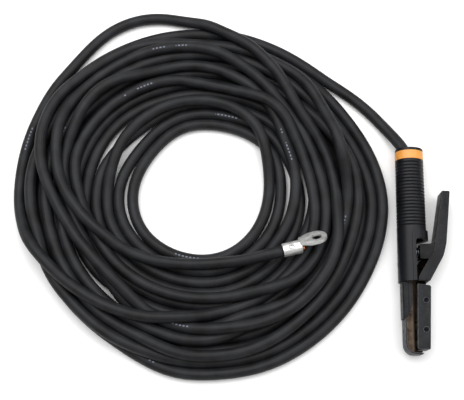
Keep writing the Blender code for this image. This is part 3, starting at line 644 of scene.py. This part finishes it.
head = add_node(screw_tree, "GeometryNodeMeshCylinder", {
    "Vertices": 40, "Radius": given["Head radius"], "Depth": given["Head height"]})
head_drop = add_node(screw_tree, "ShaderNodeMath", {
    0: given["Head height"], 1: -0.5}, operation="MULTIPLY").outputs[0]
slot_length = add_node(screw_tree, "ShaderNodeMath", {
    0: given["Head radius"], 1: 3.0}, operation="MULTIPLY").outputs[0]
slot_depth = add_node(screw_tree, "ShaderNodeMath", {
    0: given["Head height"], 1: 1.1}, operation="MULTIPLY").outputs[0]
slot_size = add_node(screw_tree, "ShaderNodeCombineXYZ", {
    "X": slot_length, "Y": given["Slot width"], "Z": slot_depth})
slot = add_node(screw_tree, "GeometryNodeMeshCube", {"Size": slot_size.outputs[0]})
slotted = add_node(screw_tree, "GeometryNodeMeshBoolean", {
    "Mesh 1": raised(screw_tree, head.outputs["Mesh"], head_drop),
    "Mesh 2": slot.outputs["Mesh"]}, operation="DIFFERENCE", solver="EXACT")
shank_length = add_node(screw_tree, "ShaderNodeMath", {
    0: given["Length"], 1: given["Head height"]}, operation="SUBTRACT").outputs[0]
shank = add_node(screw_tree, "GeometryNodeMeshCylinder", {
    "Vertices": 24, "Radius": given["Shank radius"], "Depth": shank_length})
half_shank = add_node(screw_tree, "ShaderNodeMath", {
    0: shank_length, 1: -0.5}, operation="MULTIPLY").outputs[0]
shank_drop = add_node(screw_tree, "ShaderNodeMath", {
    0: half_shank, 1: given["Head height"]}, operation="SUBTRACT").outputs[0]
whole = add_node(screw_tree, "GeometryNodeJoinGeometry")
screw_tree.links.new(slotted.outputs[0], whole.inputs[0])
screw_tree.links.new(raised(screw_tree, shank.outputs["Mesh"], shank_drop), whole.inputs[0])
aimed = add_node(screw_tree, "FunctionNodeAlignRotationToVector", {
    "Vector": given["Direction"]}, axis="Z")
set_out = add_node(screw_tree, "GeometryNodeInstanceOnPoints", {
    "Points": given["Places"], "Instance": whole.outputs[0], "Rotation": aimed.outputs[0]})
made = add_node(screw_tree, "GeometryNodeRealizeInstances", {"Geometry": set_out.outputs[0]})
dressed = add_node(screw_tree, "GeometryNodeSetMaterial", {
    "Geometry": made.outputs[0], "Material": given["Finish"]})
add_node(screw_tree, "NodeGroupOutput", {"Screws": dressed.outputs[0]})


def grown_mesh(name, seed, tree, given_inputs, rounding=0.0):
    """What a node tree makes of a seed mesh, as a plain mesh."""
    guide = bpy.data.objects.new(name, seed)
    bpy.context.scene.collection.objects.link(guide)
    modifier = guide.modifiers.new("grow", "NODES")
    modifier.node_group = tree
    for item in tree.interface.items_tree:
        if item.in_out == "INPUT" and item.name in given_inputs:
            modifier[item.identifier] = given_inputs[item.name]
    if rounding:
        bevel = guide.modifiers.new("rounding", "BEVEL")
        bevel.width = rounding
        bevel.segments = 2
        bevel.angle_limit = math.radians(50)
    evaluated = guide.evaluated_get(bpy.context.evaluated_depsgraph_get())
    mesh = bpy.data.meshes.new_from_object(evaluated)
    bpy.data.objects.remove(guide, do_unlink=True)
    mesh.name = name
    mesh.shade_smooth()
    mesh.set_sharp_from_angle(angle=math.radians(40))
    return mesh


def middle_of(node):
    low, high = (Vector(corner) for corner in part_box(node))
    return (low + high) / 2


axis_height = 0.0176
cover_half = 0.0105
screw_labels = ("Head radius", "Head height", "Shank radius", "Length", "Slot width")
screw_rounding = 0.00015
# The level is where the top of each head lies, along the screw's own direction.
for name, nodes, body, direction, level, sizes in (
    ("moving_jaw_screws", ("jaw_screw_rear", "jaw_screw_front"), "lever", (0, 0, 1),
     axis_height + cover_half - 0.0006, (0.0026, 0.0012, 0.0017, 0.0085, 0.0008)),
    ("thumb_bar_screw", ("lever_screw",), "lever", (0, 0, -1),
     axis_height - cover_half + 0.0004, (0.0031, 0.0017, 0.0014, 0.0105, 0.0009)),
    ("fixed_jaw_cover_screw", ("lower_jaw_screw",), "holder", (-1, 0, 0),
     -0.02589, (0.0031, 0.0011, 0.0016, 0.0080, 0.0009)),
    ("tip_guard_screw", ("lower_tip_screw",), "holder", (-1, 0, 0),
     -0.02459, (0.0028, 0.0007, 0.0016, 0.0067, 0.0008)),
):
    places = []
    for node in nodes:
        place = middle_of(node)
        place[2 if direction[2] else 0] = level
        places.append(tuple(place))
    seed = bpy.data.meshes.new(name)
    seed.from_pydata(places, [], [])
    inputs = dict(zip(screw_labels, sizes)) | {"Direction": direction, "Finish": oxide}
    screws = object_from(name, grown_mesh(name, seed, screw_tree, inputs, screw_rounding), oxide)
    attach(screws, body)
    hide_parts(*nodes)
for node, name in (
    ("handle_screw", "countersunk_handle_screw"),
    ("cable_screw_front", "grub_screw_front"),
    ("cable_screw_rear", "grub_screw_rear"),
    ("pivot_pin", "lever_pivot_pin"),
):
    dress_node(node, name, oxide, "holder", 0.0001)


# ---------------------------------------------------------------------------------------
# Spring and seats: a compression spring of round wire that closes the jaws, with closed
# ends, between two turned seats of insulating fibre. The inner seat sits in the casting
# and the outer one in the thumb bar's housing, so the lever squeezes the spring.

# Oil-tempered spring wire: blue-grey drawn steel, faintly mottled by the tempering.
wire_finish, tree, shader = new_finish("oil_tempered_spring_wire", 0.33, metallic=1.0)
spot = add_node(tree, "ShaderNodeTexCoord").outputs["Object"]
temper = add_node(tree, "ShaderNodeTexNoise", {
    "Vector": spot, "Scale": 700.0, "Detail": 4.0}).outputs["Fac"]
tree.links.new(shade_between(tree, temper, "#5c5e64", "#8b8d92"), shader.inputs["Base Color"])
bump = add_node(tree, "ShaderNodeBump", {"Height": temper, "Strength": 0.2, "Distance": 0.0001})
tree.links.new(bump.outputs["Normal"], shader.inputs["Normal"])

# The tree sweeps a round section along each line of its seed mesh.
wire_tree = bpy.data.node_groups.new("wire_along_lines", "GeometryNodeTree")
sockets = wire_tree.interface
sockets.new_socket("Lines", in_out="INPUT", socket_type="NodeSocketGeometry")
sockets.new_socket("Wire radius", in_out="INPUT", socket_type="NodeSocketFloat")
sockets.new_socket("Sides", in_out="INPUT", socket_type="NodeSocketInt")
sockets.new_socket("Finish", in_out="INPUT", socket_type="NodeSocketMaterial")
sockets.new_socket("Wires", in_out="OUTPUT", socket_type="NodeSocketGeometry")
given = add_node(wire_tree, "NodeGroupInput").outputs
path_line = add_node(wire_tree, "GeometryNodeMeshToCurve", {"Mesh": given["Lines"]})
section = add_node(wire_tree, "GeometryNodeCurvePrimitiveCircle", {
    "Resolution": given["Sides"], "Radius": given["Wire radius"]})
wires = add_node(wire_tree, "GeometryNodeCurveToMesh", {
    "Curve": path_line.outputs[0], "Profile Curve": section.outputs[0], "Fill Caps": True})
made = add_node(wire_tree, "GeometryNodeRealizeInstances", {"Geometry": wires.outputs[0]})
dressed = add_node(wire_tree, "GeometryNodeSetMaterial", {
    "Geometry": made.outputs[0], "Material": given["Finish"]})
add_node(wire_tree, "NodeGroupOutput", {"Wires": dressed.outputs[0]})


def wires_along(name, lines, radius, sides, material):
    """One piece of round wires, each following a line of points."""
    seed = bpy.data.meshes.new(name)
    verts, edges = [], []
    for line in lines:
        edges += [(len(verts) + i, len(verts) + i + 1) for i in range(len(line) - 1)]
        verts += [tuple(point) for point in line]
    seed.from_pydata(verts, edges, [])
    inputs = {"Wire radius": radius, "Sides": sides, "Finish": material}
    mesh = grown_mesh(name, seed, wire_tree, inputs)
    bm = bmesh.new()
    bm.from_mesh(mesh)
    bmesh.ops.recalc_face_normals(bm, faces=bm.faces)
    bm.to_mesh(mesh)
    bm.free()
    return object_from(name, mesh, material)


spring_low, spring_high = (Vector(corner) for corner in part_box("spring"))
spring_wire_r = 0.00085
spring_r = 0.0043
spring_middle = (spring_low + spring_high) / 2
coil_start = spring_low.x + spring_wire_r
coil_end = spring_high.x - spring_wire_r
spring_turns = 7.0
flat_turns = 0.5  # at each end the wire lies flat against its seat
points_a_turn = 28
spring_line = []
for index in range(int(spring_turns * points_a_turn) + 1):
    turned_by = index / points_a_turn
    risen = (turned_by - flat_turns) / (spring_turns - 2 * flat_turns)
    angle = 2 * math.pi * turned_by
    spring_line.append((
        coil_start + (coil_end - coil_start) * min(max(risen, 0.0), 1.0),
        spring_middle.y + spring_r * math.cos(angle),
        spring_middle.z + spring_r * math.sin(angle),
    ))
spring = wires_along("closing_spring", [spring_line], spring_wire_r * 0.96, 12, wire_finish)
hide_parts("spring")
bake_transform(spring)

# Vulcanised fibre: hard red-brown paper board, slightly waxy, with faint layers.
fibre, tree, shader = new_finish("vulcanised_fibre", 0.6, ior=1.53)
spot = add_node(tree, "ShaderNodeTexCoord").outputs["Object"]
layers = add_node(tree, "ShaderNodeTexWave", {
    "Vector": spot, "Scale": 420.0, "Distortion": 2.0}).outputs["Fac"]
paper = shade_between(tree, layers, "#4a2c1f", "#6b4330", 0.2, 0.8)
tree.links.new(paper, shader.inputs["Base Color"])
bump = add_node(tree, "ShaderNodeBump", {"Height": layers, "Strength": 0.2, "Distance": 0.0001})
tree.links.new(bump.outputs["Normal"], shader.inputs["Normal"])
dress_node("spring_seat_inner", "inner_spring_seat", fibre, "holder", 0.0001)
dress_node("spring_seat_outer", "outer_spring_seat", fibre, "lever", 0.0001)


# ---------------------------------------------------------------------------------------
# Conductor: a rope of fine bare copper wires, twisted together. At the holder it goes into
# the socket inside a thin copper sleeve; at the far end it shows at the lug's mouth.
# The wires are drawn about six times as thick as the real 0.2 mm ones so that they show.

# Drawn copper wire, a little oxidised: warm metal, brighter where it was just stripped.
copper, tree, shader = new_finish("drawn_copper_wire", 0.34, metallic=1.0)
spot = add_node(tree, "ShaderNodeTexCoord").outputs["Object"]
tone = add_node(tree, "ShaderNodeTexNoise", {
    "Vector": spot, "Scale": 380.0, "Detail": 4.0}).outputs["Fac"]
tree.links.new(shade_between(tree, tone, "#a8582f", "#dc9166"), shader.inputs["Base Color"])
bump = add_node(tree, "ShaderNodeBump", {"Height": tone, "Strength": 0.2, "Distance": 0.0001})
tree.links.new(bump.outputs["Normal"], shader.inputs["Normal"])


def strand_lines(start, heading, length, bundle_r, wire_r, lay_length):
    """Wires in close rings about an axis, each turning once in the lay length."""
    across = heading.cross(Vector((0, 0, 1))).normalized()
    over = across.cross(heading)
    lines = []
    rings = int((bundle_r - wire_r) / (2 * wire_r)) + 1
    for ring in range(rings):
        ring_r = ring * 2 * wire_r
        for number in range(max(1, 6 * ring)):
            line = []
            for step in range(9):
                along = length * step / 8
                angle = 2 * math.pi * (number / max(1, 6 * ring) + along / lay_length)
                outward = across * math.cos(angle) + over * math.sin(angle)
                line.append(start + heading * along + ring_r * outward)
            lines.append(line)
    return lines


strand_r = 0.0006
strand_sides = 6
strand_lay = 0.09
holder_start = Vector((
    middle_of("conductor_holder_end").x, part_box("conductor_holder_end")[0][1], axis_height))
holder_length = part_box("conductor_holder_end")[1][1] - holder_start.y
holder_lines = strand_lines(
    holder_start, Vector((0, 1, 0)), holder_length, 0.0043, strand_r, strand_lay)
holder_strands = wires_along("conductor_in_holder", holder_lines, strand_r, strand_sides, copper)
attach(holder_strands, "holder")
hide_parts("conductor_holder_end")
dress_node("copper_sleeve", "ferrule_sleeve", copper, "holder", 0.0)

lug_heading = Vector((math.cos(lug_turn), math.sin(lug_turn), 0))
lug_mouth = Vector((lug_start[0] / 1000, lug_start[1] / 1000, lug_height / 1000))
lug_lines = strand_lines(
    lug_mouth + lug_heading * 0.0001, lug_heading, 0.0236, 0.0050, strand_r, strand_lay)
lug_strands = wires_along("conductor_in_lug", lug_lines, strand_r, strand_sides, copper)
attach(lug_strands, "holder")
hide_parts("conductor_lug_end")


# ---------------------------------------------------------------------------------------
# Lug: a ring terminal for an M10 stud, made from one copper tube flattened at its palm and
# tinned. Its barrel is crimped on the conductor with a round-nosed die.

# Bright tin plate: silvery, soft gloss, with a mild orange peel and faint grey patches.
tin, tree, shader = new_finish("bright_tin_plate", 0.36, metallic=0.72)
spot = add_node(tree, "ShaderNodeTexCoord").outputs["Object"]
patches = add_node(tree, "ShaderNodeTexNoise", {
    "Vector": spot, "Scale": 160.0, "Detail": 5.0}).outputs["Fac"]
tree.links.new(shade_between(tree, patches, "#c9c9c6", "#f0f0ee"), shader.inputs["Base Color"])
peel = add_node(tree, "ShaderNodeMapRange", {"Value": patches, 3: 0.30, 4: 0.48})
tree.links.new(peel.outputs["Result"], shader.inputs["Roughness"])
ripple = add_node(tree, "ShaderNodeTexNoise", {"Vector": spot, "Scale": 500.0, "Detail": 2.0})
bump = add_node(tree, "ShaderNodeBump", {
    "Height": ripple.outputs["Fac"], "Strength": 0.25, "Distance": 0.0002})
tree.links.new(bump.outputs["Normal"], shader.inputs["Normal"])
lug = object_from("ring_lug", smoothed_copy("cable_lug", "ring_lug", 0.0), tin)

# The die's nose, as deep in the barrel as it was pressed, a little to one side of its top.
die_radius = 0.0042
die_along, die_aside, die_above = 0.0095, 0.0010, 0.0099
die = bmesh.new()
bmesh.ops.create_icosphere(die, subdivisions=4, radius=die_radius)
bmesh.ops.scale(die, verts=die.verts, vec=(1.1, 0.85, 1.0))
lug_aside = lug_heading.cross(Vector((0, 0, 1)))
die_place = lug_mouth + lug_heading * die_along - lug_aside * die_aside
die_place += Vector((0, 0, die_above))
bmesh.ops.rotate(die, verts=die.verts, matrix=Matrix.Rotation(lug_turn, 3, "Z"))
bmesh.ops.translate(die, verts=die.verts, vec=die_place)
die_mesh = bpy.data.meshes.new("crimping_die")
die.to_mesh(die_mesh)
die.free()
die_object = bpy.data.objects.new("crimping_die", die_mesh)
bpy.context.scene.collection.objects.link(die_object)
dent = lug.modifiers.new("dent", "BOOLEAN")
dent.operation = "DIFFERENCE"
dent.object = die_object
edges = lug.modifiers.new("rounding", "BEVEL")
edges.width = 0.0004
edges.segments = 3
edges.angle_limit = math.radians(28)
dented = lug.evaluated_get(bpy.context.evaluated_depsgraph_get())
crimped = bpy.data.meshes.new_from_object(dented)
lug.modifiers.clear()
lug.data = crimped
crimped.shade_smooth()
crimped.set_sharp_from_angle(angle=math.radians(40))
bpy.data.objects.remove(die_object, do_unlink=True)
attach(lug, "holder")
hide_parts("cable_lug")
